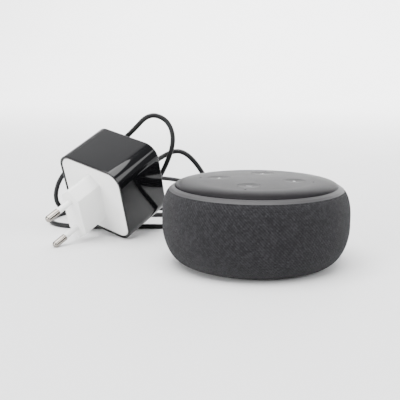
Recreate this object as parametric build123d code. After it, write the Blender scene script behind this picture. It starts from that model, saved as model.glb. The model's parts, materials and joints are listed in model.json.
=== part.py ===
from build123d import *
import math
import os

# A round, fabric-covered smart speaker with its wall power supply, in millimetres.
# Frame: +Z up, origin on the floor at the speaker's axis, +Y towards the sockets at the back.

# --- Driving dimensions of the speaker -------------------------------------------------------
HEIGHT = 44.4           # crown of the slightly domed top cover
DOME = 0.0005           # drop of the dome per square millimetre of radius
MAX_R = 49.5
WAIST_LOW = 22.0        # the side is upright between these two heights
WAIST_HIGH = 26.5
SHOULDER_Z = 40.5       # top of the ellipse that the upper side follows
BASE_R = 37.0           # where the fabric turns under
BASE_Z = 1.0
RIM_R = 45.9            # where the fabric meets the light ring
RIM_Z = 39.5
FABRIC_T = 0.8
SHELL_T = 2.0
INSERT_T = 3.0          # rear port insert, through fabric and shell
COVER_R = 42.8
COVER_T = 1.6
COVER_EDGE_Z = 41.3
ROLL_R = 30.0           # the cover's rolled edge starts here
LEDGE_Z = 38.9          # underside of the top cover's rim

BUTTON_R = 6.0
BUTTON_GAP = 0.15
DISH_DEPTH = 0.22
BUTTON_CIRCLE = 20.0
BUTTON_TRAVEL = 0.4
SWITCH_H = 1.9
MIC_CIRCLE = 30.0
BUTTONS = {"volume_up_button": 90, "microphone_button": 180, "volume_down_button": 270, "action_button": 0}

BOARD_Z = 35.6
BOARD_T = 1.0
BOARD_R = 37.0
STACK_R = 34.5          # circle of the long clamping screws
STACK_ANGLES = (45, 135, 225, 315)
CHASSIS_Z = 13.0
CHASSIS_T = 2.0
CHAMBER_R = 29.5
CHAMBER_TOP = 34.0
WALL = 1.5
FOOT_ANGLES = (0, 180, 240, 300)
FOOT_POST_R = 30.0

# Loudspeaker driver, 41 mm cone, firing down
FLANGE_R = 23.5
CONE_HOLE_R = 17.6
COIL_R = 6.35
CONE_EDGE_R = 14.5
WIRE_X = (-2.0, 2.0)     # the two wires from the driver up to the main board
WIRE_Y = -20.0

# Sockets
JACK_Z = 12.0
JACK_FRONT = 40.5       # mouth plane of both socket bodies
JACK_BACK = 29.7
DC_X = -9.0
AUDIO_X = 9.0
PLUG_R = 2.0            # outside of the barrel
PLUG_LENGTH = 9.5
AUDIO_BORE_R = 1.8
PORT_HALF = 17.0
PORT_LOW = 6.0
PORT_HIGH = 19.0

# --- Power supply ----------------------------------------------------------------------------
CORD_R = 1.5
GRIP_END = 66.0
CORD_START = 80.0
COIL_CENTRE = (6.0, 82.0)
COIL_MEAN_R = 18.0
COIL_WIDTH = 9.0
COIL_HEIGHT = 6.2

ADAPTER_SIDE = 48.5
ADAPTER_CORNER = 9.0
ADAPTER_DEPTH = 34.5
ADAPTER_WALL = 1.6
BOSS_DEPTH = 18.0
BOSS_HALF_LONG = 17.65
BOSS_HALF_SHORT = 6.85
BOSS_SHOULDER = 11.95
PIN_HALF_SPACING = 9.5
PIN_R = 2.0
PIN_LENGTH = 19.0
PIN_NOSE = 1.6          # radius of the rounded pin tip
COLLAR_LENGTH = 10.0
COLLAR_R = 1.78         # insulating sleeve on the root of each pin
PIN_CORE_R = 1.35       # the pin inside its sleeve and inside the face
RELIEF_DROP = -8.0
RELIEF_LENGTH = 14.0
# The adapter lies on a lower corner and a pin tip: the pins' azimuth, their dip and the roll about them.
ADAPTER_AZIMUTH = -116.84
ADAPTER_DIP = 24.81
ADAPTER_ROLL = -12.93
ADAPTER_FACE = (-100.9, 24.35, 24.89)

# Free stretches of the cord: from the DC plug into the coil, and from the coil to the adapter.
ROUTE_FROM_PLUG = [
    (-9, 80, 12), (-9, 97, 12), (-14, 114, 12), (-33, 127, 11), (-58, 135, 14),
    (-85, 137, 19), (-108, 132, 20), (-121, 115, 20), (-115, 94, 20), (-96, 80, 20),
    (-78, 67, 25), (-67, 58, 40), (-62, 61, 56), (-67, 64, 68.5), (-79, 62.5, 72.5),
    (-88, 56, 61), (-105, 61.5, 48), (-130, 72, 41), (-146, 72, 27), (-148, 69, 9),
    (-132, 75, 1.5), (-106, 86, 1.5), (-76, 95, 1.5), (-47, 100, 1.5), (-24, 102, 1.5),
    (-4, 99, 3),
]
ROUTE_TO_ADAPTER = [
    (6, 64, 3), (-15, 63, 1.5), (-41, 63, 1.5), (-73, 60, 1.5), (-105, 50, 1.5),
    (-131, 45, 1.5), (-146, 55, 1.5), (-151, 79, 1.5), (-133, 103, 1.5), (-100, 112, 1.5),
    (-70, 117, 1.5), (-45, 118, 1.5), (-29, 112, 4), (-24, 99, 9), (-31, 87, 11),
    (-43, 81, 21), (-51.5, 80.5, 38), (-63.5, 80.5, 48.5),
]


# --- Helpers ---------------------------------------------------------------------------------
def lathe(*points):
    """A solid turned about the speaker's axis from (radius, height) points."""
    return revolve(Plane.XZ * make_face(Polyline(*points, points[0])), Axis.Z)


def disc(radius, low, high, x=0.0, y=0.0):
    return Pos(x, y, (low + high) / 2) * Cylinder(radius, high - low)


def ring(outer, inner, low, high, x=0.0, y=0.0):
    return disc(outer, low, high, x, y) - disc(inner, low - 1, high + 1, x, y)


def block(low, high):
    size = [high[i] - low[i] for i in range(3)]
    middle = [(high[i] + low[i]) / 2 for i in range(3)]
    return Pos(*middle) * Box(*size)


def around(radius, angle):
    return radius * math.cos(math.radians(angle)), radius * math.sin(math.radians(angle))


def along_y(radius, start, end, x, z):
    return Pos(x, (start + end) / 2, z) * Rot(90, 0, 0) * Cylinder(radius, end - start)


def group(solids):
    return Compound(children=list(solids))


def shoulder_radius(z):
    """Radius of the side above its upright part."""
    def fall(height):
        share = (height - WAIST_HIGH) / (SHOULDER_Z - WAIST_HIGH)
        return 1 - math.sqrt(1 - share ** 2)
    return MAX_R - (MAX_R - RIM_R) * fall(z) / fall(RIM_Z)


def side_outline(inset):
    """Curves of the side, inset from the fabric's outside: turned-under base, upright waist, shoulder."""
    low = Plane.XZ * EllipticalCenterArc(
        (BASE_R, WAIST_LOW), MAX_R - BASE_R - inset, WAIST_LOW - BASE_Z - inset, start_angle=-90, arc_size=90)
    waist = Line((MAX_R - inset, 0, WAIST_LOW), (MAX_R - inset, 0, WAIST_HIGH))
    heights = [WAIST_HIGH, 30.0, 33.0, 36.0, 38.0, RIM_Z]
    shoulder = Spline(*[(shoulder_radius(z) - inset, 0, z) for z in heights])
    return low, waist, shoulder


def side_shell_between(outside, inside):
    """The turned shell between two insets of the side."""
    low_out, waist_out, high_out = side_outline(outside)
    low_in, waist_in, high_in = side_outline(inside)
    edges = [
        low_out, waist_out, high_out, Line(high_out @ 1, high_in @ 1),
        high_in, waist_in, low_in, Line(low_in @ 0, low_out @ 0),
    ]
    return revolve(make_face(edges), Axis.Z)


def side_solid(inset):
    """Everything inside one inset of the side."""
    low, waist, high = side_outline(inset)
    base_z = (low @ 0).Z
    edges = [
        low, waist, high,
        Line(high @ 1, (0, 0, RIM_Z)), Line((0, 0, RIM_Z), (0, 0, base_z)), Line((0, 0, base_z), low @ 0),
    ]
    return revolve(make_face(edges), Axis.Z)


def dome_height(radius):
    """Height of the top cover's dome."""
    return HEIGHT - DOME * radius ** 2


def port_window(gap):
    """The block cut through the side for the rear port insert."""
    return block((-PORT_HALF - gap, 36, PORT_LOW - gap), (PORT_HALF + gap, 60, PORT_HIGH + gap))


def adapter_plane():
    """Origin on the adapter's face, local Z along the pins and local Y up the face."""
    azimuth = math.radians(ADAPTER_AZIMUTH)
    dip = math.radians(ADAPTER_DIP)
    roll = math.radians(ADAPTER_ROLL)
    out = Vector(
        math.cos(azimuth) * math.cos(dip), math.sin(azimuth) * math.cos(dip), -math.sin(dip))
    level = Vector(-math.sin(azimuth), math.cos(azimuth), 0)
    across = level * math.cos(roll) + out.cross(level) * math.sin(roll)
    return Plane(origin=ADAPTER_FACE, x_dir=across, z_dir=out)


def rounded_square(side, corner, low, high):
    return Pos(0, 0, low) * extrude(RectangleRounded(side, side, corner), high - low)


def cord_tube(name, points):
    """A round tube along straight runs joined by tangent arcs; prints its radii and length."""
    route = [Vector(*p) for p in points]
    radii = []
    for before, here, after in zip(route, route[1:], route[2:]):
        shorter = min((here - before).length, (after - here).length)
        turn = (here - before).get_angle(after - here)
        radii.append(0.45 * shorter / math.tan(math.radians(turn) / 2))
    path = FilletPolyline(*route, radius=radii)
    start = Plane(origin=path @ 0, z_dir=path % 0)
    tube = sweep(start * Circle(CORD_R), path=path)
    expected = math.pi * CORD_R ** 2 * path.length
    print(name, "length", round(path.length, 1), "volume ratio", round(tube.volume / expected, 4))
    print(name, "smallest radius", round(min(radii), 1), "radii", [round(r, 1) for r in radii])
    return tube


# --- Speaker housing -------------------------------------------------------------------------
def housing():
    fabric = side_shell_between(0, FABRIC_T) - port_window(0.1)
    shell = side_shell_between(FABRIC_T, FABRIC_T + SHELL_T)
    shell_low = BASE_Z + FABRIC_T
    shell = shell + ring(BASE_R + 0.05, 34.0, shell_low, shell_low + SHELL_T)
    slot = block((36, -1.1, 5.0), (52, 1.1, 12.0))
    slots = [Rot(0, 0, angle) * slot for angle in range(0, 360, 9) if abs(angle - 90) > 28]
    shell = shell - slots - port_window(0.05)
    base = disc(BASE_R - 0.15, 1.0, 1.7) + disc(33.8, 1.7, 3.6)
    screws = []
    for angle in FOOT_ANGLES:
        x, y = around(FOOT_POST_R, angle)
        base = base - disc(2.4, 0.9, 2.6, x, y) - disc(1.15, 0.9, 4.0, x, y)
        screws.append(disc(2.2, 1.1, 2.6, x, y) + disc(1.08, 2.6, 9.5, x, y))
    foot = lathe((0, 0), (35.4, 0), (36.2, 0.5), (36.2, 1.0), (0, 1.0))
    deflector = lathe((0, 3.6), (15, 3.6), (13, 4.4), (7, 6.2), (3, 8.6), (0.8, 9.6), (0, 9.6))
    return {
        "fabric_sleeve": fabric, "side_shell": shell, "base_plate": base, "foot_pad": foot,
        "sound_deflector": deflector, "base_screws": group(screws),
    }


def dome_solid():
    """The top cover's outside, filled down to its ledge."""
    roll_z = dome_height(ROLL_R)
    middle = ROLL_R / 2
    dome = ThreePointArc((0, 0, HEIGHT), (middle, 0, dome_height(middle)), (ROLL_R, 0, roll_z))
    roll = Plane.XZ * EllipticalCenterArc(
        (ROLL_R, COVER_EDGE_Z), COVER_R - ROLL_R, roll_z - COVER_EDGE_Z, start_angle=0, arc_size=90)
    sides = Polyline((COVER_R, 0, COVER_EDGE_Z), (COVER_R, 0, LEDGE_Z), (0, 0, LEDGE_Z), (0, 0, HEIGHT))
    return revolve(make_face([dome, roll, sides]), Axis.Z)


def cover_hollow():
    """What is taken out from under the top cover."""
    low = LEDGE_Z - 1
    crown = HEIGHT - COVER_T
    roll_z = dome_height(ROLL_R) - COVER_T
    middle = ROLL_R / 2
    inner_r = COVER_R - 1.5
    under = ThreePointArc((0, 0, crown), (middle, 0, dome_height(middle) - COVER_T), (ROLL_R, 0, roll_z))
    sides = Polyline(
        (ROLL_R, 0, roll_z), (38, 0, 41.5), (inner_r, 0, 40.3), (inner_r, 0, low), (0, 0, low), (0, 0, crown))
    return revolve(make_face([under, sides]), Axis.Z)


def button_cap(x, y, stem_end):
    """A dished cap that follows the dome, with a retaining flange below and a stem to its switch."""
    flange_top = dome_height(BUTTON_CIRCLE + BUTTON_R + 1) - COVER_T - 0.15
    cap = disc(BUTTON_R, flange_top - 0.1, HEIGHT + 1, x, y) & (Pos(0, 0, -0.05) * dome_solid())
    dish_r = BUTTON_R - 0.5
    ball_r = (dish_r ** 2 + DISH_DEPTH ** 2) / (2 * DISH_DEPTH)
    up = Vector(2 * DOME * x, 2 * DOME * y, 1).normalized()
    ball = Vector(x, y, dome_height(BUTTON_CIRCLE) - 0.05) + up * (ball_r - DISH_DEPTH)
    cap = cap - Pos(*ball) * Sphere(ball_r)
    cap = cap + disc(BUTTON_R + 0.9, flange_top - 1.1, flange_top, x, y)
    return cap + disc(1.5, stem_end, flange_top - 1.1, x, y)


def top():
    cover = dome_solid() - cover_hollow()
    caps = {}
    stem_end = BOARD_Z + BOARD_T + SWITCH_H + BUTTON_TRAVEL + 0.05
    for name, angle in BUTTONS.items():
        x, y = around(BUTTON_CIRCLE, angle)
        cover = cover - disc(BUTTON_R + BUTTON_GAP, 40, 46, x, y)
        caps[name] = button_cap(x, y, stem_end)
        x, y = around(MIC_CIRCLE, angle)
        cover = cover - disc(0.6, 40, 46, x, y)
    screws = []
    for angle in STACK_ANGLES:
        x, y = around(STACK_R, angle)
        cover = cover + ring(2.6, 0.9, BOARD_Z + BOARD_T, dome_height(STACK_R) - COVER_T + 0.3, x, y)
        screws.append(disc(2.0, CHASSIS_Z - 1.6, CHASSIS_Z, x, y) + disc(0.88, CHASSIS_Z, 40, x, y))
    light = lathe(
        (COVER_R + 0.1, COVER_EDGE_Z), (44.6, 40.5), (RIM_R, RIM_Z + 0.05), (43.0, RIM_Z + 0.05), (43.0, 37.2),
        (38.8, 37.2), (38.8, LEDGE_Z - 0.1), (COVER_R + 0.1, LEDGE_Z - 0.1))
    return {"top_cover": cover, "light_ring": light, "stack_screws": group(screws), **caps}


# --- Electronics -----------------------------------------------------------------------------
def electronics():
    board = disc(BOARD_R, BOARD_Z, BOARD_Z + BOARD_T)
    top_face = BOARD_Z + BOARD_T
    leds, switches, mics = [], [], []
    for angle in STACK_ANGLES:
        x, y = around(STACK_R, angle)
        board = board - disc(1.15, 35, 37, x, y)
    lamp = block((34.6, -1.0, top_face), (36.4, 1.0, top_face + 0.8))
    for step in range(12):
        leds.append(Rot(0, 0, 30 * step) * lamp)
    for angle in BUTTONS.values():
        x, y = around(BUTTON_CIRCLE, angle)
        body = block((x - 2.25, y - 2.25, top_face), (x + 2.25, y + 2.25, top_face + 1.6))
        switches.append(body + disc(0.9, top_face + 1.6, top_face + SWITCH_H, x, y))
        x, y = around(MIC_CIRCLE, angle)
        mics.append(block((x - 1.5, y - 1.0, top_face), (x + 1.5, y + 1.0, top_face + 1.1)))
    processor = block((-6, -6, top_face), (6, 6, top_face + 1.0))
    can = block((-9.5, -9.5, top_face), (9.5, 9.5, top_face + 2.0))
    can = can - block((-9.3, -9.3, top_face - 1), (9.3, 9.3, top_face + 1.8))
    boxes = [
        ((-21, 15), (8, 8, 1.0)),
        ((14, 12), (6, 6, 2.0)), ((21, 18), (3, 4, 1.6)), ((-17, -16), (7, 7, 1.2)), ((-26, -14), (3, 3, 1.4)),
        ((16, -15), (5, 5, 2.2)), ((24, -13), (4, 3, 1.3)), ((12, -24), (3, 3, 0.9)), ((-12, 27), (4, 3, 1.0)),
    ]
    small = [
        block((x - w / 2, y - d / 2, top_face), (x + w / 2, y + d / 2, top_face + h))
        for (x, y), (w, d, h) in boxes
    ]
    spreader = ring(27.0, 6.0, CHAMBER_TOP + 0.1, BOARD_Z - 0.1)
    spreader = spreader - [disc(0.8, CHAMBER_TOP, BOARD_Z, x, WIRE_Y) for x in WIRE_X]
    antenna = block((-0.25, -8, 24), (0.25, 8, 33))
    antennas = [Rot(0, 0, angle) * Pos(44.0, 0, 0) * antenna for angle in (-15, 195)]
    return {
        "main_board": board, "led_set": group(leds), "tact_switches": group(switches),
        "microphones": group(mics), "processor": processor, "shield_can": can,
        "board_components": group(small), "heat_spreader": spreader,
        "antennas": group(antennas),
    }


# --- Sound -----------------------------------------------------------------------------------
def sound():
    rear = block((-20, CHAMBER_R + 0.1, 0), (20, 60, 60))
    low = CHASSIS_Z
    high = CHASSIS_Z + CHASSIS_T
    chassis = disc(44.5, low, high) - disc(CONE_HOLE_R, low - 1, high + 1) - rear
    chassis = chassis & side_solid(FABRIC_T + SHELL_T + 0.2)
    for angle in FOOT_ANGLES:
        x, y = around(FOOT_POST_R, angle)
        chassis = chassis + disc(3.0, 3.65, low, x, y) - disc(1.1, 3.0, 12.0, x, y)
    flange_hole_r = 21.6
    flange_angles = (45, 135, 225, 315)
    chamber = ring(BOARD_R, CHAMBER_R - WALL, high, high + WALL) - rear
    chamber = chamber + ring(CHAMBER_R, CHAMBER_R - WALL, high, CHAMBER_TOP)
    chamber = chamber + disc(CHAMBER_R, CHAMBER_TOP - WALL, CHAMBER_TOP)
    for angle in STACK_ANGLES:
        x, y = around(STACK_R, angle)
        chassis = chassis - disc(1.0, low - 1, high + 1, x, y)
        chamber = chamber + disc(2.8, high, BOARD_Z, x, y) - disc(1.15, high - 1, BOARD_Z + 1, x, y)
    for x in WIRE_X:
        chamber = chamber - disc(0.7, CHAMBER_TOP - 3, CHAMBER_TOP + 1, x, WIRE_Y)
    gasket = ring(FLANGE_R, CONE_HOLE_R, low - 0.4, low)
    flange_low = low - 1.6
    basket = lathe(
        (CONE_HOLE_R - 0.1, flange_low), (FLANGE_R, flange_low), (FLANGE_R, low - 0.4),
        (17.5, low - 0.4), (17.4, 13.4), (13.6, 19.6), (13.6, 22.2), (14.2, 22.2), (14.2, 23.0),
        (7.2, 23.0), (7.2, 22.2), (12.4, 22.2), (12.4, 19.3), (11.6, 19.3), (11.6, 18.7), (13.2, 18.7),
        (16.4, 13.6), (16.4, 12.9))
    window = block((8, -3.2, 14.6), (20, 3.2, 18.2))
    basket = basket - [Rot(0, 0, angle) * window for angle in (45, 135, 225, 315)]
    screws = []
    for angle in flange_angles:
        x, y = around(flange_hole_r, angle)
        gasket = gasket - disc(0.9, low - 1, low + 1, x, y)
        basket = basket - disc(0.9, low - 3, low, x, y)
        chassis = chassis - disc(0.9, low - 1, high - 0.2, x, y)
        screws.append(disc(1.6, flange_low - 1.2, flange_low, x, y) + disc(0.88, flange_low, high - 0.4, x, y))
    plate = ring(14.0, 6.9, 23.0, 25.5)
    magnet = ring(14.0, 8.2, 25.5, 29.5)
    yoke = disc(13.5, 29.5, 31.5) + disc(5.8, 23.0, 29.5)
    coil = ring(COIL_R, COIL_R - 0.2, 17.4, 27.2) + ring(COIL_R + 0.3, COIL_R - 0.05, 22.9, 25.9)
    cone = lathe(
        (COIL_R, 18.0), (CONE_EDGE_R, 12.7), (CONE_EDGE_R, 13.1), (COIL_R + 0.4, 18.6), (COIL_R, 18.6))
    cap = lathe((0, 16.0), (3.6, 16.5), (COIL_R - 0.2, 17.6), (COIL_R - 0.2, 18.0), (3.4, 16.9), (0, 16.4))
    spider = lathe(
        (COIL_R, 18.95), (7.6, 19.3), (8.9, 18.85), (10.2, 19.3), (11.55, 18.95), (11.55, 19.2),
        (10.2, 19.55), (8.9, 19.1), (7.6, 19.55), (COIL_R, 19.2))
    surround = lathe(
        (CONE_EDGE_R, 12.7), (15.0, 11.9), (15.5, 11.7), (16.0, 11.9), (16.4, 12.9), (16.4, 13.3),
        (16.1, 13.3), (15.8, 12.4), (15.5, 12.1), (15.2, 12.3), (CONE_EDGE_R, 13.1))
    terminals = block((-4, -15.6, 20.2), (4, -14.0, 22.2))
    terminals = terminals + block((-4, -14.1, 21.0), (4, -13.62, 22.2))
    wires = []
    for x in WIRE_X:
        path = FilletPolyline((x, -15.6, 21.6), (x, WIRE_Y, 21.6), (x, WIRE_Y, BOARD_Z), radius=2.0)
        wires.append(sweep(Plane(origin=path @ 0, z_dir=path % 0) * Circle(0.5), path=path))
    return {
        "chassis": chassis, "acoustic_chamber": chamber, "driver_gasket": gasket, "driver_basket": basket,
        "driver_screws": group(screws), "driver_top_plate": plate, "driver_magnet": magnet, "driver_yoke": yoke,
        "voice_coil": coil, "driver_cone": cone, "dust_cap": cap, "driver_spider": spider,
        "driver_surround": surround, "driver_terminals": terminals, "speaker_wires": group(wires),
    }


# --- Sockets at the back ---------------------------------------------------------------------
def sockets():
    insert = (side_solid(0) - side_solid(INSERT_T)) & port_window(0)
    insert = insert - along_y(4.4, 36, 60, DC_X, JACK_Z) - along_y(3.0, 36, 60, AUDIO_X, JACK_Z)
    floor = 7.7
    dc = block((DC_X - 4, JACK_BACK, floor), (DC_X + 4, JACK_FRONT, JACK_Z + 4.3))
    bore_end = JACK_FRONT - PLUG_LENGTH - 0.3
    dc = dc - along_y(PLUG_R + 0.1, bore_end, JACK_FRONT + 1, DC_X, JACK_Z)
    centre = along_y(0.75, bore_end, JACK_FRONT - 1.5, DC_X, JACK_Z)
    audio = block((AUDIO_X - 3.5, JACK_BACK, floor), (AUDIO_X + 3.5, JACK_FRONT, JACK_Z + 3.5))
    nose = along_y(2.9, JACK_FRONT, 60, AUDIO_X, JACK_Z) & side_solid(0.2)
    audio = audio + nose - along_y(AUDIO_BORE_R, JACK_BACK + 1.2, 60, AUDIO_X, JACK_Z)
    board = block((-15, 26.5, floor - 1.2), (15, 39, floor))
    flex = block((-3.5, 34.9, floor), (3.5, 35.1, BOARD_Z))
    return {
        "port_insert": insert, "dc_jack": dc, "dc_jack_pin": centre, "audio_jack": audio,
        "port_board": board, "flex_cable": flex,
    }


# --- Power supply ----------------------------------------------------------------------------
def plug_and_cord():
    barrel_start = JACK_FRONT - PLUG_LENGTH
    barrel = along_y(PLUG_R, barrel_start, JACK_FRONT + 0.1, DC_X, JACK_Z)
    barrel = barrel - along_y(0.95, barrel_start - 1, JACK_FRONT + 1, DC_X, JACK_Z)
    bend = CORD_START - GRIP_END
    start = JACK_FRONT + 0.1
    outline = Polyline(
        (0, start), (3.6, start), (4.0, start + 0.5), (4.0, GRIP_END - 1.5), (2.9, GRIP_END),
        (2.3, GRIP_END + bend / 2), (1.9, CORD_START), (0, CORD_START), (0, start))
    grip = Pos(DC_X, 0, JACK_Z) * revolve(make_face(outline), Axis.Y)
    x, y = COIL_CENTRE
    half = COIL_WIDTH / 2
    coil = ring(COIL_MEAN_R + half, COIL_MEAN_R - half, 0, COIL_HEIGHT, x, y)
    coil = chamfer(coil.edges(), 1.2)
    tie_x = x + COIL_MEAN_R
    outer = Pos(tie_x, y, COIL_HEIGHT / 2 + 0.35) * Box(COIL_WIDTH + 1.4, 3.0, COIL_HEIGHT + 0.7)
    inner = Pos(tie_x, y, COIL_HEIGHT / 2 + 0.1) * Box(COIL_WIDTH + 0.4, 4.0, COIL_HEIGHT + 0.2)
    tie = outer - inner - block((tie_x - 20, y - 5, -5), (tie_x + 20, y + 5, 0))
    return {
        "dc_plug_barrel": barrel, "dc_plug_grip": grip, "cord_coil": coil, "cord_tie": tie,
        "cord_from_plug": cord_tube("cord_from_plug", ROUTE_FROM_PLUG),
    }


def adapter():
    side, depth = ADAPTER_SIDE, ADAPTER_DEPTH
    sleeve = rounded_square(side, ADAPTER_CORNER, -depth, 0)
    cavity_side = side - 2 * ADAPTER_WALL
    cavity_corner = ADAPTER_CORNER - ADAPTER_WALL
    sleeve = fillet(sleeve.faces().sort_by(Axis.Z)[0].edges(), 0.8)
    sleeve = sleeve - rounded_square(cavity_side, cavity_corner, -depth + 1.8, 1)
    sleeve = sleeve - Pos(0, RELIEF_DROP, -depth) * Cylinder(2.6, 6)
    face = rounded_square(cavity_side - 0.1, cavity_corner - 0.05, -2.4, -0.2)
    boss_outline = Polyline(
        (0, BOSS_HALF_LONG), (BOSS_HALF_SHORT, BOSS_SHOULDER), (BOSS_HALF_SHORT, -BOSS_SHOULDER),
        (0, -BOSS_HALF_LONG), (-BOSS_HALF_SHORT, -BOSS_SHOULDER), (-BOSS_HALF_SHORT, BOSS_SHOULDER),
        (0, BOSS_HALF_LONG))
    boss = extrude(make_face(boss_outline), BOSS_DEPTH + 0.2)
    boss = Pos(0, 0, -0.2) * fillet(boss.edges().filter_by(Axis.Z), 0.8)
    tip = BOSS_DEPTH + PIN_LENGTH
    collar_end = BOSS_DEPTH + COLLAR_LENGTH
    pins, collars = [], []
    for y in (-PIN_HALF_SPACING, PIN_HALF_SPACING):
        pin_hole = Pos(0, y, BOSS_DEPTH / 2) * Cylinder(PIN_CORE_R, BOSS_DEPTH + 8)
        face = face - pin_hole
        boss = boss - pin_hole
        shank = Polyline(
            (0.4, tip), (0, tip), (0, -8), (PIN_CORE_R, -8), (PIN_CORE_R, collar_end), (PIN_R, collar_end),
            (PIN_R, tip - PIN_NOSE))
        slant = PIN_NOSE * math.sqrt(0.5)
        nose = ThreePointArc(shank @ 1, (0.4 + slant, tip - PIN_NOSE + slant), shank @ 0)
        pins.append(Pos(0, y, 0) * revolve(Plane.XZ * make_face([shank, nose]), Axis.Z))
        collars.append(Pos(0, y, 0) * ring(COLLAR_R, PIN_CORE_R, BOSS_DEPTH, collar_end))
    board = Pos(0, 0, -8.8) * Box(36, 36, 1.4)
    board = board - [Pos(0, y, -8.8) * Cylinder(1.6, 4) for y in (-PIN_HALF_SPACING, PIN_HALF_SPACING)]
    core = block((-3, -2, -26), (15, 14, -9.5)) - block((-0.2, -3, -23), (3.4, 15, -12.5))
    core = core - block((8.6, -3, -23), (12.2, 15, -12.5))
    winding = block((0, -1.4, -22.8), (12, 13.4, -12.7)) - block((3.2, -3, -30), (8.8, 15, -5))
    mains = Pos(-11, 8, -18.5) * Cylinder(5.5, 18)
    outputs = [Pos(x, -13, -16.0) * Cylinder(3.6, 13) for x in (6, 14)]
    sink = block((-16, -16, -24), (-4, -14.4, -9.5)) + block((-16, -14.4, -24), (-14.4, -5, -9.5))
    relief_outline = Polyline(
        (0, -depth + 3.2), (4.2, -depth + 3.2), (4.2, -depth + 1.8), (2.6, -depth + 1.8), (2.6, -depth),
        (3.3, -depth), (2.6, -depth - RELIEF_LENGTH / 2), (1.9, -depth - RELIEF_LENGTH),
        (0, -depth - RELIEF_LENGTH), (0, -depth + 3.2))
    relief = Pos(0, RELIEF_DROP, 0) * revolve(Plane.XZ * make_face(relief_outline), Axis.Z)
    local = {
        "adapter_sleeve": sleeve, "adapter_face": group([face, boss]), "mains_pins": group(pins),
        "pin_collars": group(collars), "adapter_board": board, "transformer_core": core,
        "transformer_winding": winding, "mains_capacitor": mains, "output_capacitors": group(outputs),
        "heat_sink": sink, "adapter_strain_relief": relief,
    }
    plane = adapter_plane()
    placed = {name: plane.location * shape for name, shape in local.items()}
    approach = plane.from_local_coords((0, RELIEF_DROP, -depth - RELIEF_LENGTH - 13))
    end = plane.from_local_coords((0, RELIEF_DROP, -depth - RELIEF_LENGTH))
    route = ROUTE_TO_ADAPTER + [tuple(approach), tuple(end)]
    placed["cord_to_adapter"] = cord_tube("cord_to_adapter", route)
    print("strain relief end", [round(v, 2) for v in tuple(end)], "pins point", plane.z_dir)
    for y in (-PIN_HALF_SPACING, PIN_HALF_SPACING):
        print("pin middle", plane.from_local_coords((0, y, (tip - PIN_NOSE + collar_end) / 2)))
    return placed


nodes = {**housing(), **top(), **electronics(), **sound(), **sockets(), **plug_and_cord(), **adapter()}
os.makedirs("parts", exist_ok=True)
for name, shape in nodes.items():
    export_step(shape, f"parts/{name}.step")
print(len(nodes), "nodes")
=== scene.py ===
import json
import math
import random
import bpy
from mathutils import Matrix, Vector


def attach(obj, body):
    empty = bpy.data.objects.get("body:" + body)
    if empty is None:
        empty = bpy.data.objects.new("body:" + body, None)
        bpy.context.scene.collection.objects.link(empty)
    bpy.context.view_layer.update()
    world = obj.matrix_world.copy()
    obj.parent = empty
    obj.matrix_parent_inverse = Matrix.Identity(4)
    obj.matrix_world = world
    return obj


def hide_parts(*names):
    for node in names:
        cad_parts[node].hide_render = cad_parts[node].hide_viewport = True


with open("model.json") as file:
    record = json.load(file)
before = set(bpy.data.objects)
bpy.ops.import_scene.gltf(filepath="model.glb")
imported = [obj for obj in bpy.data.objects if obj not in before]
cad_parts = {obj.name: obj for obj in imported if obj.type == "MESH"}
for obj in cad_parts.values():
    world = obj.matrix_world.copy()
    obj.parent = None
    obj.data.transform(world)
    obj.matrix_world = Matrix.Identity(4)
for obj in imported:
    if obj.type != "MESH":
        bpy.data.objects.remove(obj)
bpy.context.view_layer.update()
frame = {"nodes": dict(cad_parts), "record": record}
nodes = frame["nodes"]
random.seed(7)
MM = 0.001


# --- Camera ----------------------------------------------------------------------------------
CAMERA_PLACE = (0.0694, -0.3935, 0.1106)
CAMERA_AIM = (-0.2413, 0.9515, -0.191)
SENSOR_WIDTH, FOCAL_LENGTH = 36, 69.19


def make_camera():
    data = bpy.data.cameras.new("camera")
    camera = bpy.data.objects.new("camera", data)
    bpy.context.scene.collection.objects.link(camera)
    camera.location = CAMERA_PLACE
    camera.rotation_euler = Vector(CAMERA_AIM).to_track_quat("-Z", "Y").to_euler()
    data.sensor_width = SENSOR_WIDTH
    data.lens = FOCAL_LENGTH
    data.clip_start = 0.01
    data.clip_end = 20
    bpy.context.scene.camera = camera


make_camera()


# --- Materials -------------------------------------------------------------------------------
NOISE_LOW, NOISE_HIGH = 0.3, 0.7  # a noise texture's values lie mostly between these


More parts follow.
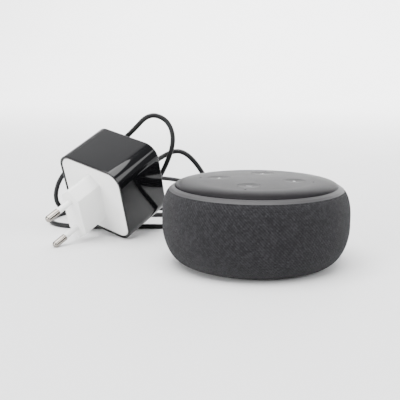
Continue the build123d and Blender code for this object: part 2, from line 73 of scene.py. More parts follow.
class Shader:
    """A small builder for node materials in object space."""

    def __init__(self, name):
        self.material = bpy.data.materials.new(name)
        self.material.use_nodes = True
        self.tree = self.material.node_tree
        self.tree.nodes.clear()
        self.out = self.node("ShaderNodeOutputMaterial")
        self.surface = self.node("ShaderNodeBsdfPrincipled")
        self.link(self.surface, "BSDF", self.out, "Surface")
        self.place = self.node("ShaderNodeTexCoord")

    def node(self, kind, **values):
        made = self.tree.nodes.new(kind)
        for key, value in values.items():
            setattr(made, key, value)
        return made

    def link(self, source, output, target, entry):
        self.tree.links.new(source.outputs[output], target.inputs[entry])

    def noise(self, scale, detail=2.0, rough=0.5, stretch=(1, 1, 1)):
        mapping = self.node("ShaderNodeMapping")
        mapping.inputs["Scale"].default_value = stretch
        self.link(self.place, "Object", mapping, "Vector")
        made = self.node("ShaderNodeTexNoise")
        made.inputs["Scale"].default_value = scale
        made.inputs["Detail"].default_value = detail
        made.inputs["Roughness"].default_value = rough
        self.link(mapping, "Vector", made, "Vector")
        return made

    def ramp(self, source, output, low, high):
        made = self.node("ShaderNodeMapRange")
        made.inputs["From Min"].default_value = NOISE_LOW
        made.inputs["From Max"].default_value = NOISE_HIGH
        made.inputs["To Min"].default_value = low
        made.inputs["To Max"].default_value = high
        self.link(source, output, made, "Value")
        return made

    def colour_between(self, source, output, low, high):
        mix = self.node("ShaderNodeMix", data_type="RGBA")
        mix.inputs[6].default_value = (*low, 1)
        mix.inputs[7].default_value = (*high, 1)
        self.link(source, output, mix, 0)
        return mix

    def math(self, operation, first, second=0.0):
        made = self.node("ShaderNodeMath", operation=operation)
        for index, value in enumerate((first, second)):
            if isinstance(value, (int, float)):
                made.inputs[index].default_value = value
            else:
                self.tree.links.new(value, made.inputs[index])
        return made.outputs[0]

    def bump(self, source, output, distance, strength=1.0, under=None):
        made = self.node("ShaderNodeBump")
        made.inputs["Strength"].default_value = strength
        made.inputs["Distance"].default_value = distance
        self.link(source, output, made, "Height")
        if under is not None:
            self.link(under, "Normal", made, "Normal")
        return made


def solid_material(name, low, high, rough=(0.4, 0.5), grain=900.0, relief=0.00002, patch=60.0,
                   metallic=0.0, specular=0.5, stretch=(1, 1, 1)):
    """A moulded, painted or metal surface: cloudy tone, uneven gloss and a fine surface grain."""
    s = Shader(name)
    tone = s.noise(patch, 3.0)
    shade = s.ramp(tone, "Fac", 0.0, 1.0)
    mix = s.colour_between(shade, "Result", low, high)
    s.link(mix, 2, s.surface, "Base Color")
    smear = s.noise(patch * 2.3, 4.0, 0.6, stretch)
    gloss = s.ramp(smear, "Fac", rough[0], rough[1])
    s.link(gloss, "Result", s.surface, "Roughness")
    fine = s.noise(grain, 2.0, 0.6, stretch)
    relief_node = s.bump(fine, "Fac", relief)
    s.link(relief_node, "Normal", s.surface, "Normal")
    s.surface.inputs["Metallic"].default_value = metallic
    s.surface.inputs["Specular IOR Level"].default_value = specular
    return s.material


YARN_DARK = (0.0068, 0.0067, 0.0076, 1)
YARN_MIDDLE = (0.0138, 0.0135, 0.0151, 1)
YARN_LIGHT = (0.031, 0.0305, 0.0335, 1)


def knit_material(name):
    """Melange knit: every stitch has its own tone, with fibres across it and faint diagonal lines."""
    s = Shader(name)
    split = s.node("ShaderNodeSeparateXYZ")
    s.link(s.place, "UV", split, "Vector")
    u, v = split.outputs[0], split.outputs[1]
    row = s.math("FLOOR", v)
    half = s.math("MULTIPLY", s.math("MODULO", row, 2.0), 0.5)
    column = s.math("FLOOR", s.math("ADD", u, half))
    cell = s.node("ShaderNodeCombineXYZ")
    s.tree.links.new(column, cell.inputs[0])
    s.tree.links.new(row, cell.inputs[1])
    chance = s.node("ShaderNodeTexWhiteNoise", noise_dimensions="2D")
    s.link(cell, "Vector", chance, "Vector")
    fibre = s.node("ShaderNodeTexNoise")
    fibre.inputs["Scale"].default_value = 5.0
    fibre.inputs["Detail"].default_value = 3.0
    s.link(s.place, "UV", fibre, "Vector")
    cloud = s.noise(120.0, 3.0, 0.6)
    tone = s.math("ADD", s.math("MULTIPLY", chance.outputs["Value"], 0.3),
                  s.math("MULTIPLY", fibre.outputs["Fac"], 0.7))
    drift = s.math("SUBTRACT", cloud.outputs["Fac"], 0.5)
    tone = s.math("ADD", tone, s.math("MULTIPLY", drift, 0.2))
    diagonal = s.math("SINE", s.math("MULTIPLY", s.math("ADD", u, v), 1.2 * math.pi))
    tone = s.math("ADD", tone, s.math("MULTIPLY", diagonal, 0.1))
    ramp = s.node("ShaderNodeValToRGB")
    elements = ramp.color_ramp.elements
    elements[0].position = 0.22
    elements[0].color = YARN_DARK
    elements[1].position = 0.9
    elements[1].color = YARN_LIGHT
    middle = elements.new(0.52)
    middle.color = YARN_MIDDLE
    s.tree.links.new(tone, ramp.inputs["Fac"])
    s.link(ramp, "Color", s.surface, "Base Color")
    twist = s.node("ShaderNodeTexWave", wave_type="BANDS", bands_direction="DIAGONAL")
    twist.inputs["Scale"].default_value = 1.2
    twist.inputs["Distortion"].default_value = 1.5
    twist.inputs["Detail"].default_value = 2.0
    s.link(s.place, "UV", twist, "Vector")
    first = s.bump(twist, "Fac", 0.00008, 0.8)
    second = s.bump(fibre, "Fac", 0.0001, 0.8, first)
    s.link(second, "Normal", s.surface, "Normal")
    s.surface.inputs["Roughness"].default_value = 0.92
    s.surface.inputs["Specular IOR Level"].default_value = 0.15
    s.surface.inputs["Sheen Weight"].default_value = 0.06
    s.surface.inputs["Sheen Roughness"].default_value = 0.5
    return s.material


SURFACES = {
    "black_plastic": dict(low=(0.012, 0.012, 0.013), high=(0.02, 0.02, 0.022), rough=(0.42, 0.56),
        grain=1500, relief=0.00003),
    "foot_rubber": dict(low=(0.012, 0.012, 0.012), high=(0.022, 0.021, 0.021), rough=(0.6, 0.8),
        grain=2200, relief=0.00005),
    "zinc_steel": dict(low=(0.5, 0.5, 0.48), high=(0.66, 0.65, 0.62), rough=(0.25, 0.42), grain=1800,
        relief=0.00001, metallic=1.0),
    "top_plastic": dict(low=(0.0115, 0.0108, 0.0118), high=(0.014, 0.0132, 0.0143), rough=(0.32, 0.37),
        grain=2600, relief=0.000012, patch=25.0, specular=0.016),
    "ring_diffuser": dict(low=(0.042, 0.041, 0.0422), high=(0.05, 0.049, 0.0502), rough=(0.42, 0.52),
        grain=1500, relief=0.00001, specular=0.2),
    "circuit_board": dict(low=(0.01, 0.05, 0.025), high=(0.015, 0.09, 0.04), rough=(0.25, 0.4),
        grain=700, relief=0.00003, patch=300.0),
    "led_lens": dict(low=(0.75, 0.75, 0.68), high=(0.9, 0.9, 0.85), rough=(0.1, 0.2)),
    "tin_plate": dict(low=(0.55, 0.55, 0.53), high=(0.7, 0.7, 0.68), rough=(0.25, 0.4), grain=1500,
        relief=0.00001, metallic=1.0),
    "chip_plastic": dict(low=(0.015, 0.015, 0.015), high=(0.03, 0.03, 0.03), rough=(0.5, 0.65)),
    "bare_aluminium": dict(low=(0.6, 0.6, 0.61), high=(0.76, 0.76, 0.77), rough=(0.28, 0.42),
        grain=1500, relief=0.00001, metallic=1.0, stretch=(1, 12, 1)),
    "antenna_foil": dict(low=(0.5, 0.33, 0.12), high=(0.72, 0.5, 0.24), rough=(0.3, 0.45),
        metallic=1.0),
    "chamber_plastic": dict(low=(0.07, 0.07, 0.075), high=(0.1, 0.1, 0.105), rough=(0.5, 0.62)),
    "foam_gasket": dict(low=(0.015, 0.015, 0.015), high=(0.04, 0.04, 0.04), rough=(0.85, 0.95),
        grain=1200, relief=0.0001),
    "driver_paint": dict(low=(0.012, 0.012, 0.012), high=(0.022, 0.022, 0.022), rough=(0.3, 0.4)),
    "ferrite": dict(low=(0.035, 0.035, 0.038), high=(0.06, 0.06, 0.064), rough=(0.45, 0.6), grain=900,
        relief=0.00003),
    "copper_winding": dict(low=(0.45, 0.16, 0.06), high=(0.66, 0.27, 0.12), rough=(0.25, 0.4),
        metallic=1.0, stretch=(1, 1, 20)),
    "cone_paper": dict(low=(0.02, 0.02, 0.02), high=(0.035, 0.035, 0.033), rough=(0.7, 0.85),
        grain=700, relief=0.00008),
    "spider_cloth": dict(low=(0.45, 0.28, 0.1), high=(0.6, 0.4, 0.18), rough=(0.75, 0.9), grain=1400,
        relief=0.0001),
    "surround_rubber": dict(low=(0.012, 0.012, 0.012), high=(0.02, 0.02, 0.02), rough=(0.5, 0.6)),
    "wire_insulation": dict(low=(0.3, 0.01, 0.01), high=(0.42, 0.025, 0.02), rough=(0.4, 0.5)),
    "port_plastic": dict(low=(0.013, 0.013, 0.014), high=(0.02, 0.02, 0.021), rough=(0.34, 0.44),
        grain=2000, relief=0.00002),
    "nickel_plate": dict(low=(0.62, 0.6, 0.56), high=(0.74, 0.72, 0.68), rough=(0.12, 0.22),
        grain=1500, relief=0.000005, metallic=1.0),
    "flex_film": dict(low=(0.35, 0.13, 0.02), high=(0.5, 0.2, 0.04), rough=(0.3, 0.4)),
    "cord_rubber": dict(low=(0.006, 0.006, 0.0065), high=(0.010, 0.010, 0.0105), rough=(0.38, 0.5),
        grain=1200, relief=0.00002, patch=90.0, specular=0.2),
    "tie_wire": dict(low=(0.015, 0.015, 0.015), high=(0.025, 0.025, 0.025), rough=(0.4, 0.5)),
    "gloss_black": dict(low=(0.003, 0.003, 0.0035), high=(0.0045, 0.0045, 0.005), rough=(0.03, 0.07),
        grain=300, relief=0.000002, specular=0.26),
    "white_plastic": dict(low=(0.86, 0.86, 0.845), high=(0.9, 0.9, 0.885), rough=(0.34, 0.46),
        grain=1600, relief=0.00001),
    "pin_metal": dict(low=(0.22, 0.2, 0.18), high=(0.32, 0.3, 0.27), rough=(0.14, 0.24), grain=1500,
        relief=0.000006, metallic=1.0),
    "capacitor_sleeve": dict(low=(0.01, 0.02, 0.1), high=(0.02, 0.035, 0.16), rough=(0.2, 0.3)),
    "icon_print": dict(low=(0.28, 0.28, 0.29), high=(0.33, 0.33, 0.34), rough=(0.45, 0.55)),
}


def make_materials():
    made = {"charcoal_knit": knit_material("charcoal_knit")}
    for name, values in SURFACES.items():
        made[name] = solid_material(name, **values)
    made["button_plastic"] = made["top_plastic"]
    return made


materials = make_materials()


def paint(obj, slot):
    obj.data.materials.clear()
    obj.data.materials.append(materials[slot])


# --- Mesh helpers ----------------------------------------------------------------------------
def add_piece(name, verts, faces, slot, body, stands_for, sharp=35.0, uvs=None):
    mesh = bpy.data.meshes.new(name)
    mesh.from_pydata([tuple(v) for v in verts], [], faces)
    mesh.validate()
    if uvs is not None:
        layer = mesh.uv_layers.new(name="UVMap")
        for loop in mesh.loops:
            layer.data[loop.index].uv = uvs[loop.vertex_index]
    obj = bpy.data.objects.new(name, mesh)
    bpy.context.scene.collection.objects.link(obj)
    return finish_piece(obj, slot, body, stands_for, sharp)


def finish_piece(obj, slot, body, stands_for=(), sharp=35.0):
    mesh = obj.data
    mesh.polygons.foreach_set("use_smooth", [True] * len(mesh.polygons))
    mesh.set_sharp_from_angle(angle=math.radians(sharp))
    paint(obj, slot)
    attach(obj, body)
    if stands_for:
        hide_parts(*stands_for)
    return obj


def turned(profile, segments, matrix):
    """Vertices and faces of a (radius, height) profile turned about local Z; a radius of 0 is a pole."""
    verts, faces, rows = [], [], []
    for radius, height in profile:
        row = []
        if radius < 1e-6:
            row = [len(verts)] * segments
            verts.append(Vector((0, 0, height)))
        else:
            for i in range(segments):
                angle = 2 * math.pi * i / segments
                row.append(len(verts))
                verts.append(Vector((radius * math.cos(angle), radius * math.sin(angle), height)))
        rows.append(row)
    for low, high in zip(rows, rows[1:]):
        for i in range(segments):
            j = (i + 1) % segments
            ring = [low[i], low[j], high[j], high[i]]
            face = [k for n, k in enumerate(ring) if k not in ring[:n]]
            if len(face) > 2:
                faces.append(face)
    return [matrix @ v for v in verts], faces


def rounded_polygon(corners, radii, steps):
    """A closed outline with every corner rounded, counter-clockwise."""
    outline = []
    count = len(corners)
    for i in range(count):
        before, here, after = (Vector(corners[(i + k) % count]) for k in (-1, 0, 1))
        back = (before - here).normalized()
        ahead = (after - here).normalized()
        half = back.angle(ahead) / 2
        reach = radii[i] / math.tan(half)
        centre = here + (back + ahead).normalized() * (radii[i] / math.sin(half))
        first = here + back * reach - centre
        last = here + ahead * reach - centre
        turn = first.angle(last)
        side = 1 if first.x * last.y - first.y * last.x > 0 else -1
        for step in range(steps + 1):
            angle = side * turn * step / steps
            outline.append(centre + Matrix.Rotation(angle, 2) @ first)
    return outline


def offset_outline(outline, distance):
    """Moves an outline inward by distance along its own normals."""
    moved = []
    count = len(outline)
    for i, here in enumerate(outline):
        along = outline[(i + 1) % count] - outline[i - 1]
        normal = Vector((-along.y, along.x)).normalized()
        moved.append(here + normal * distance)
    return moved


def stacked(loops, matrix, cap_first=False, cap_last=False):
    """Skins a list of (outline, height) loops."""
    verts, faces = [], []
    count = len(loops[0][0])
    for outline, height in loops:
        verts += [matrix @ Vector((p.x, p.y, height)) for p in outline]
    for level in range(len(loops) - 1):
        for i in range(count):
            j = (i + 1) % count
            a, b = level * count, (level + 1) * count
            faces.append([a + i, a + j, b + j, b + i])
    if cap_first:
        faces.append(list(range(count))[::-1])
    if cap_last:
        last = (len(loops) - 1) * count
        faces.append(list(range(last, last + count)))
    return verts, faces


# --- Speaker side ----------------------------------------------------------------------------
MAX_R, BASE_R, RIM_R = 49.5 * MM, 37.0 * MM, 45.9 * MM
BASE_Z, WAIST_LOW, WAIST_HIGH, RIM_Z, SHOULDER_Z = 1.0 * MM, 22.0 * MM, 26.5 * MM, 39.5 * MM, 40.5 * MM
PITCH = 1.0 * MM        # width and height of a stitch
SAMPLES = 4             # mesh steps across a stitch
STITCH_RELIEF = 0.00022


def shoulder_fall(z):
    share = (z - WAIST_HIGH) / (SHOULDER_Z - WAIST_HIGH)
    return 1 - math.sqrt(1 - share * share)


def side_radius(z):
    """Radius of the fabric at a height."""
    if z < WAIST_LOW:
        share = min(1.0, (WAIST_LOW - z) / (WAIST_LOW - BASE_Z))
        return BASE_R + (MAX_R - BASE_R) * math.sqrt(max(0.0, 1 - share * share))
    if z < WAIST_HIGH:
        return MAX_R
    return MAX_R - (MAX_R - RIM_R) * shoulder_fall(z) / shoulder_fall(RIM_Z)


def side_profile():
    """Evenly spaced points up the side, each with its outward normal and its stitch count."""
    raw = []
    for i in range(401):
        angle = math.radians(-90 + 90 * i / 400)
        radius = BASE_R + (MAX_R - BASE_R) * math.cos(angle)
        raw.append((radius, WAIST_LOW + (WAIST_LOW - BASE_Z) * math.sin(angle)))
    for i in range(1, 201):
        z = WAIST_LOW + (RIM_Z - WAIST_LOW) * i / 200
        raw.append((side_radius(z), z))
    lengths = [0.0]
    for a, b in zip(raw, raw[1:]):
        lengths.append(lengths[-1] + math.dist(a, b))
    total = lengths[-1]
    courses = round(total / PITCH)
    rows = []
    index = 0
    for step in range(courses * SAMPLES + 1):
        want = total * step / (courses * SAMPLES)
        while index < len(raw) - 2 and lengths[index + 1] < want:
            index += 1
        share = (want - lengths[index]) / (lengths[index + 1] - lengths[index])
        a, b = raw[index], raw[index + 1]
        point = (a[0] + (b[0] - a[0]) * share, a[1] + (b[1] - a[1]) * share)
        along = Vector((b[0] - a[0], b[1] - a[1])).normalized()
        rows.append((point, (along.y, -along.x), step / SAMPLES))
    return rows, total


def stitch_height(u, v):
    """Relief of one knitted stitch: offset rows of slanted loops, 0 in the gaps and 1 on the crowns."""
    row = math.floor(v)
    across = (u + 0.5 * (row % 2)) % 1.0 - 0.5
    up = v % 1.0 - 0.5
    across += 0.28 * up
    return (0.5 + 0.5 * math.cos(2 * math.pi * across)) * (0.5 + 0.5 * math.cos(2 * math.pi * up))


def make_fabric():
    rows, height = side_profile()
    wales = round(2 * math.pi * MAX_R / PITCH)
    segments = wales * SAMPLES
    jitter = [[random.uniform(0.6, 1.0) for _ in range(wales)] for _ in range(len(rows))]
    verts, faces, uvs = [], [], []
    (low_r, low_z), _, _ = rows[0]
    (high_r, high_z), _, high_v = rows[-1]
    hem = [((low_r - 0.7 * MM, low_z + 0.35 * MM), (0, -1), -0.5)]
    tuck = [((high_r - 0.15 * MM, high_z + 0.05 * MM), (0, 1), high_v + 0.12),
            ((high_r - 0.6 * MM, high_z - 0.3 * MM), (0, 1), high_v + 0.5)]
    rows = hem + rows + tuck
    smooth = {0, len(rows) - 2, len(rows) - 1}
    for level, ((radius, z), (nr, nz), v) in enumerate(rows):
        fade = 0.0 if level in smooth else min(1.0, (level - 1) / 3, (len(rows) - 3 - level) / 3)
        for i in range(segments):
            u = i / SAMPLES
            lift = 0.0
            if fade > 0:
                wobble = jitter[int(v) % len(jitter)][int(u) % wales]
                lift = (stitch_height(u, v) * wobble - 0.75) * STITCH_RELIEF * fade
            r = radius + nr * lift
            angle = 2 * math.pi * i / segments + math.pi / 2
            verts.append((r * math.cos(angle), r * math.sin(angle), z + nz * lift))
            uvs.append((u, v))
    for level in range(len(rows) - 1):
        for i in range(segments):
            j = (i + 1) % segments
            a, b = level * segments, (level + 1) * segments
            faces.append([a + i, a + j, b + j, b + i])
    faces, verts = cut_port_window(faces, verts)
    fabric = add_piece("fabric_knit", verts, faces, "charcoal_knit", "speaker", ["fabric_sleeve"],
                       180.0, uvs)


PORT_HALF, PORT_LOW, PORT_HIGH = 17.12 * MM, 5.88 * MM, 19.12 * MM


def in_window(p, grow=0.0):
    """Whether a point lies over the rear sockets."""
    return p[1] > 0 and abs(p[0]) < PORT_HALF + grow and PORT_LOW - grow < p[2] < PORT_HIGH + grow


def cut_port_window(faces, verts):
    """Leaves out the faces over the rear sockets and draws the cut edge straight."""
    kept = []
    for face in faces:
        middle = [sum(verts[k][axis] for k in face) / len(face) for axis in range(3)]
        if not in_window(middle):
            kept.append(face)
    near = {k for face in kept for k in face if in_window(verts[k], 0.25 * MM)}
    verts = [list(v) for v in verts]
    for k in near:
        x, y, z = verts[k]
        gaps = {"x": PORT_HALF - abs(x), "low": z - PORT_LOW, "high": PORT_HIGH - z}
        side = min(gaps, key=lambda name: abs(gaps[name]))
        if abs(gaps[side]) > 0.26 * MM:
            continue
        if side == "x":
            x = math.copysign(PORT_HALF, x)
            y = math.sqrt(max(0.0, side_radius(z) ** 2 - x * x)) - 0.1 * MM
        elif side == "low":
            z = PORT_LOW
        else:
            z = PORT_HIGH
        verts[k] = [x, y, z]
    return kept, verts


# --- Top of the speaker ----------------------------------------------------------------------
HEIGHT, DOME = 44.4, 0.0005
BUTTON_CIRCLE, BUTTON_R = 20.0, 6.0
BUTTON_SINK, DISH_DEPTH, DISH_R = 0.05, 0.22, BUTTON_R - 0.5
BAR_WIDTH, FINE_BAR = 0.42, 0.24
ICON_FACE, ICON_ROOT = 0.045, -0.02  # heights of a printed mark over the key cap
BUTTONS = {"volume_up": 90, "microphone": 180, "volume_down": 270, "action": 0}


def dome_height(radius):
    return HEIGHT - DOME * radius * radius


def dish_drop(x, y):
    """How far the dished key caps lie under the dome at a point, in millimetres."""
    for angle in BUTTONS.values():
        cx = BUTTON_CIRCLE * math.cos(math.radians(angle))
        cy = BUTTON_CIRCLE * math.sin(math.radians(angle))
        away = math.hypot(x - cx, y - cy)
        if away < BUTTON_R:
            return BUTTON_SINK + DISH_DEPTH * max(0.0, 1 - (away / DISH_R) ** 2)
    return 0.0


def icon_piece(name, body, outlines, angle):
    """A small printed mark that follows the dish of a key cap; outlines are closed, in millimetres."""
    cx = BUTTON_CIRCLE * math.cos(math.radians(angle))
    cy = BUTTON_CIRCLE * math.sin(math.radians(angle))
    verts, faces = [], []
    for outline in outlines:
        base = len(verts)
        for lift in (ICON_FACE, ICON_ROOT):
            for px, py in outline:
                x, y = cx + px, cy + py
                z = dome_height(math.hypot(x, y)) - dish_drop(x, y) + lift
                verts.append(Vector((x, y, z)) * MM)
        n = len(outline)
        faces.append([base + i for i in range(n)])
        for i in range(n):
            j = (i + 1) % n
            faces.append([base + i, base + n + i, base + n + j, base + j])
    add_piece(name, verts, faces, "icon_print", body, (), 30.0)


def bar(x0, y0, x1, y1, width):
    """A rounded bar between two points, as a closed outline."""
    along = Vector((x1 - x0, y1 - y0)).normalized()
    heading = math.atan2(along.y, along.x)
    outline = []
    for (px, py), start in (((x1, y1), -90), ((x0, y0), 90)):
        for i in range(7):
            angle = heading + math.radians(start + 30 * i)
            outline.append((px + width / 2 * math.cos(angle), py + width / 2 * math.sin(angle)))
    return outline


def circle_outline(x, y, radius):
    count = 28
    angles = [2 * math.pi * i / count for i in range(count)]
    return [(x + radius * math.cos(angle), y + radius * math.sin(angle)) for angle in angles]


def make_icons():
    minus = [bar(-1.25, 0, 1.25, 0, BAR_WIDTH)]
    plus = minus + [bar(0, 0.25, 0, 1.25, BAR_WIDTH), bar(0, -1.25, 0, -0.25, BAR_WIDTH)]
    microphone = [
        bar(0, -0.1, 0, 1.0, 0.8), bar(-1.2, -0.2, -0.75, -0.95, FINE_BAR),
        bar(-0.75, -0.95, 0.75, -0.95, FINE_BAR), bar(0.75, -0.95, 1.2, -0.2, FINE_BAR),
        bar(0, -1.2, 0, -1.6, FINE_BAR)]
    icon_piece("icon_volume_up", "volume_up_key", plus, BUTTONS["volume_up"])
    icon_piece("icon_volume_down", "volume_down_key", minus, BUTTONS["volume_down"])
    icon_piece("icon_action", "action_key", [circle_outline(0, 0, 0.75)], BUTTONS["action"])
    icon_piece("icon_microphone", "microphone_key", microphone, BUTTONS["microphone"])


# --- Power adapter ---------------------------------------------------------------------------
SIDE, CORNER, DEPTH, WALL = 48.5, 9.0, 34.5, 1.6
BOSS_DEPTH, BOSS_LONG, BOSS_SHORT, BOSS_SHOULDER = 18.0, 17.65, 6.85, 11.95
RELIEF_DROP, RELIEF_LENGTH = -8.0, 14.0
ADAPTER_FACE = (-100.9, 24.35, 24.89)
ADAPTER_TURN = (-116.84, 24.81, -12.93)  # azimuth, dip and roll of the pins


def adapter_matrix():
    """Local millimetres of the adapter, with Z along its pins, to metres in the shared frame."""
    azimuth, dip, roll = (math.radians(v) for v in ADAPTER_TURN)
    level_part = math.cos(dip)
    out = Vector((math.cos(azimuth) * level_part, math.sin(azimuth) * level_part, -math.sin(dip)))
    level = Vector((-math.sin(azimuth), math.cos(azimuth), 0))
    across = level * math.cos(roll) + out.cross(level) * math.sin(roll)
    up = out.cross(across)
    matrix = Matrix((across, up, out)).transposed().to_4x4()
    return Matrix.Scale(MM, 4) @ Matrix.Translation(ADAPTER_FACE) @ matrix


def square_outline(side, corner, steps):
    half = side / 2
    corners = [(half, -half), (half, half), (-half, half), (-half, -half)]
    return rounded_polygon(corners, [corner] * 4, steps)


def rounded_rim(outline, radius, start, inset=0.0):
    """Loops that round an edge over, from upright at the start height to level."""
    loops = []
    for angle in range(15, 91, 15):
        turn = math.radians(angle)
        loop = offset_outline(outline, inset + radius * (1 - math.cos(turn)))
        loops.append((loop, start + radius * math.sin(turn)))
    return loops


def make_housing(place, outer):
    """The glossy sleeve, rounded at the back and with a thin rolled lip round the front."""
    inner = offset_outline(outer, WALL)
    back_r, lip_r = 0.9, 0.5
    loops = []
    for angle in range(0, 91, 15):
        turn = math.radians(angle)
        loop = offset_outline(outer, back_r * (1 - math.sin(turn)))
        loops.append((loop, -DEPTH + back_r * (1 - math.cos(turn))))
    loops += [(outer, z) for z in (-DEPTH + 1.2, -DEPTH / 2, -0.6)]
    loops += rounded_rim(outer, 0.35, -0.35)
    for angle in range(15, 91, 25):
        turn = math.radians(angle)
        loop = offset_outline(outer, WALL - lip_r + lip_r * math.sin(turn))
        loops.append((loop, -lip_r + lip_r * math.cos(turn)))
    loops += [(inner, -0.7), (inner, -2.6)]
    verts, faces = stacked(loops, place, cap_first=True)
    add_piece("adapter_housing", verts, faces, "gloss_black", "power_supply", ["adapter_sleeve"], 40.0)


def make_front(place, outer):
    """The white face plate with the boss that the pins stand on."""
    inset = WALL + 0.06
    plate = offset_outline(outer, inset)
    loops = [(plate, -2.4), (plate, -0.75)] + rounded_rim(outer, 0.55, -0.75, inset)
    plate_verts, plate_faces = stacked(loops, place, cap_first=True, cap_last=True)
    hexagon = [(0, -BOSS_LONG), (BOSS_SHORT, -BOSS_SHOULDER), (BOSS_SHORT, BOSS_SHOULDER),
               (0, BOSS_LONG), (-BOSS_SHORT, BOSS_SHOULDER), (-BOSS_SHORT, -BOSS_SHOULDER)]
    boss = rounded_polygon(hexagon, [1.6, 1.2, 1.2, 1.6, 1.2, 1.2], 6)
    loops = [(offset_outline(boss, -0.5), -0.3), (offset_outline(boss, -0.25), -0.05)]
    loops += [(boss, z) for z in (0.35, 9.0, BOSS_DEPTH - 0.6)]
    loops += rounded_rim(boss, 0.6, BOSS_DEPTH - 0.6)
    boss_verts, boss_faces = stacked(loops, place, cap_last=True)
    start = len(plate_verts)
    faces = plate_faces + [[k + start for k in face] for face in boss_faces]
    verts = plate_verts + boss_verts
    add_piece("adapter_front", verts, faces, "white_plastic", "power_supply", ["adapter_face"], 30.0)


def make_boot(place):
    """The ribbed bend relief at the adapter's back."""
    back = place @ Matrix.Translation((0, RELIEF_DROP, -DEPTH)) @ Matrix.Rotation(math.pi, 4, "X")
    profile = [(3.9, -0.3), (3.9, 0.5), (3.6, 0.9)]
    profile += ribbed(3.3, 1.95, 1.1, RELIEF_LENGTH - 0.6, 5)
    profile += [(1.9, RELIEF_LENGTH), (1.4, RELIEF_LENGTH)]
    verts, faces = turned(profile, 36, back)
    add_piece("adapter_boot", verts, faces, "cord_rubber", "power_supply", ["adapter_strain_relief"])


def make_adapter():
    place = adapter_matrix()
    outer = square_outline(SIDE, CORNER, 14)
    make_housing(place, outer)
    make_front(place, outer)
    make_boot(place)


def ribbed(start_r, end_r, start_z, end_z, ribs):
    """Profile of a tapered bend relief with grooves around it."""
    points = []
    step = (end_z - start_z) / ribs
    for i in range(ribs):
        low = start_z + i * step
        for share, dip in ((0.0, 0.0), (0.55, 0.0), (0.65, 0.35), (0.9, 0.35)):
            along = (i + share) / ribs
            points.append((start_r + (end_r - start_r) * along - dip, low + share * step))
    points.append((end_r, end_z))
    return points


PLUG_AXIS = (-9, 0, 12)


def make_plug():
    """The round DC plug: its barrel, and a grip with a finger groove and a ribbed bend relief."""
    place = Matrix.Scale(MM, 4) @ Matrix.Translation(PLUG_AXIS) @ Matrix.Rotation(-math.pi / 2, 4, "X")
    profile = [
        (2.0, 40.6), (3.3, 40.6), (3.85, 40.9), (4.0, 41.4), (4.0, 46.5), (3.75, 47.2), (3.75, 51.5),
        (4.0, 52.2), (4.0, 63.5), (3.7, 64.8), (3.0, 65.6)]
    profile += ribbed(2.9, 1.95, 66.0, 79.6, 5)
    profile += [(1.9, 80.0), (1.4, 80.0)]
    verts, faces = turned(profile, 40, place)
    add_piece("plug_grip", verts, faces, "cord_rubber", "power_supply", ["dc_plug_grip"])
    profile = [
        (0.95, 40.8), (2.0, 40.8), (2.0, 31.3), (1.85, 31.05), (1.3, 31.0), (0.95, 31.2),
        (0.95, 40.0), (0, 40.0)]
    verts, faces = turned(profile, 36, place)
    add_piece("plug_barrel", verts, faces, "nickel_plate", "power_supply", ["dc_plug_barrel"])


# --- Cord ------------------------------------------------------------------------------------
CORD_D = 3.0
COIL_X, COIL_Y, COIL_OUTER, COIL_INNER = 6, 82, 21.0, 15.0
COIL_LOW, COIL_PITCH = 1.5, 3.05  # the lower layer's height, and the step from turn to turn
FROM_PLUG = [
    (-9, 80, 12), (-9, 97, 12), (-14, 114, 12), (-33, 127, 11), (-58, 135, 14),
    (-85, 137, 19), (-108, 132, 20), (-121, 115, 20), (-115, 94, 20), (-96, 80, 20),
    (-78, 67, 25), (-67, 58, 40), (-62, 61, 56), (-67, 64, 68.5), (-79, 62.5, 72.5),
    (-88, 56, 61), (-105, 61.5, 48), (-130, 72, 41), (-146, 72, 27), (-148, 69, 9),
    (-132, 75, 1.5), (-106, 86, 1.5), (-76, 95, 1.5), (-47, 100, 1.5), (-24, 102, 1.5),
]
TO_ADAPTER = [
    (-15, 62, 1.5), (-41, 63, 1.5), (-73, 60, 1.5), (-105, 50, 1.5),
    (-131, 45, 1.5), (-146, 55, 1.5), (-151, 79, 1.5), (-133, 103, 1.5), (-100, 112, 1.5),
    (-70, 117, 1.5), (-45, 118, 1.5), (-29, 112, 4), (-24, 99, 9), (-31, 87, 11),
    (-43, 81, 21), (-51.5, 80.5, 38), (-63.5, 80.5, 48.5),
]


def coil_turns():
    """The wound-up part of the cord: two flat layers of clockwise turns, 16 points a turn."""
    points = []
    turns = 4 + 210 / 360
    count = round(turns * 16)
    for i in range(count + 1):
        p = turns * i / count
        if p < 2.0:
            radius, height = COIL_OUTER - 3.0 * p, COIL_LOW
        elif p < 2.35:
            share = (p - 2.0) / 0.35
            radius, height = COIL_INNER, COIL_LOW + COIL_PITCH * share
        else:
            radius = min(COIL_OUTER, COIL_INNER + COIL_PITCH * (p - 2.35))
            height = COIL_LOW + COIL_PITCH
        angle = math.radians(120 - 360 * p)
        points.append((COIL_X + radius * math.cos(angle), COIL_Y + radius * math.sin(angle), height))
    return points


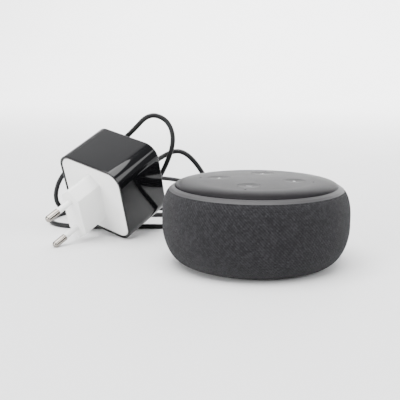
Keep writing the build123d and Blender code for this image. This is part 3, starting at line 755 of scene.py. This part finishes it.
def make_cord():
    place = adapter_matrix()
    approach = place @ Vector((0, RELIEF_DROP, -DEPTH - RELIEF_LENGTH - 13))
    end = place @ Vector((0, RELIEF_DROP, -DEPTH - RELIEF_LENGTH))
    route = [Vector(p) * MM for p in FROM_PLUG + coil_turns() + TO_ADAPTER] + [approach, end]
    curve = bpy.data.curves.new("power_cord", "CURVE")
    curve.dimensions = "3D"
    spline = curve.splines.new("NURBS")
    spline.points.add(len(route) - 1)
    for point, where in zip(spline.points, route):
        point.co = (*where, 1)
    spline.order_u = 3
    spline.use_endpoint_u = True
    spline.resolution_u = 8
    curve.resolution_u = 8
    curve.bevel_depth = CORD_D * MM / 2
    curve.bevel_resolution = 4
    curve.use_fill_caps = True
    cord = bpy.data.objects.new("power_cord", curve)
    bpy.context.scene.collection.objects.link(cord)
    curve.materials.append(materials["cord_rubber"])
    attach(cord, "power_supply")
    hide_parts("cord_from_plug", "cord_coil", "cord_to_adapter")
    return cord


# --- Put it together -------------------------------------------------------------------------
for node_name, obj in nodes.items():
    slot = next(e["material_slot"] for e in frame["record"]["subparts"] if e["node"] == node_name)
    paint(obj, slot)

cord = make_cord()
make_fabric()
make_icons()
make_adapter()
make_plug()


# --- Floor, backdrop and lights --------------------------------------------------------------
SWEEP_START, SWEEP_R, SWEEP_TOP, SWEEP_HALF = 1.2, 0.8, 2.5, 3.0


def make_stage():
    profile = [(y, 0.0) for y in (-2.0, -1.0, 0.0, 0.6, SWEEP_START)]
    for angle in range(6, 91, 6):
        turn = math.radians(angle)
        profile.append((SWEEP_START + SWEEP_R * math.sin(turn), SWEEP_R - SWEEP_R * math.cos(turn)))
    profile.append((SWEEP_START + SWEEP_R, SWEEP_TOP))
    verts = [(x, y, z) for y, z in profile for x in (-SWEEP_HALF, SWEEP_HALF)]
    faces = [[2 * i, 2 * i + 1, 2 * i + 3, 2 * i + 2] for i in range(len(profile) - 1)]
    mesh = bpy.data.meshes.new("studio_sweep")
    mesh.from_pydata(verts, [], faces)
    sweep = bpy.data.objects.new("studio_sweep", mesh)
    bpy.context.scene.collection.objects.link(sweep)
    mesh.polygons.foreach_set("use_smooth", [True] * len(mesh.polygons))
    paper = solid_material("studio_paper", (0.80, 0.80, 0.80), (0.82, 0.82, 0.82), (0.55, 0.65),
                           relief=0.00001, patch=6.0, specular=0.2)
    mesh.materials.append(paper)


WORLD_COLOUR, WORLD_STRENGTH = (0.93, 0.95, 1.0, 1), 0.5
# Softboxes: name, place, aim, size and power.
LIGHTS = [
    ("overhead", (-0.15, -0.35, 1.5), (0, 0, 0), (1.6, 1.3), 64),
    ("rear_overhead", (-0.6, 0.75, 1.5), (0, 0, 0), (1.2, 1.2), 6),
    ("left", (-0.85, -1.05, 0.35), (-0.1, 0, 0.02), (0.9, 0.6), 19),
    ("right", (1.3, -0.4, 0.8), (0, 0, 0.02), (0.9, 0.9), 16),
    ("backdrop", (0, 1.0, 0.95), (0, 1.75, 0.2), (3.0, 0.3), 90),
]


def area_light(name, where, target, size, power):
    data = bpy.data.lights.new(name, "AREA")
    data.shape = "RECTANGLE"
    data.size, data.size_y = size
    data.energy = power
    light = bpy.data.objects.new(name, data)
    bpy.context.scene.collection.objects.link(light)
    light.location = where
    aim = Vector(target) - Vector(where)
    light.rotation_euler = aim.to_track_quat("-Z", "Y").to_euler()


def make_lights():
    world = bpy.data.worlds.new("studio")
    bpy.context.scene.world = world
    world.use_nodes = True
    background = world.node_tree.nodes["Background"]
    background.inputs["Color"].default_value = WORLD_COLOUR
    background.inputs["Strength"].default_value = WORLD_STRENGTH
    for light in LIGHTS:
        area_light(*light)


make_stage()
make_lights()
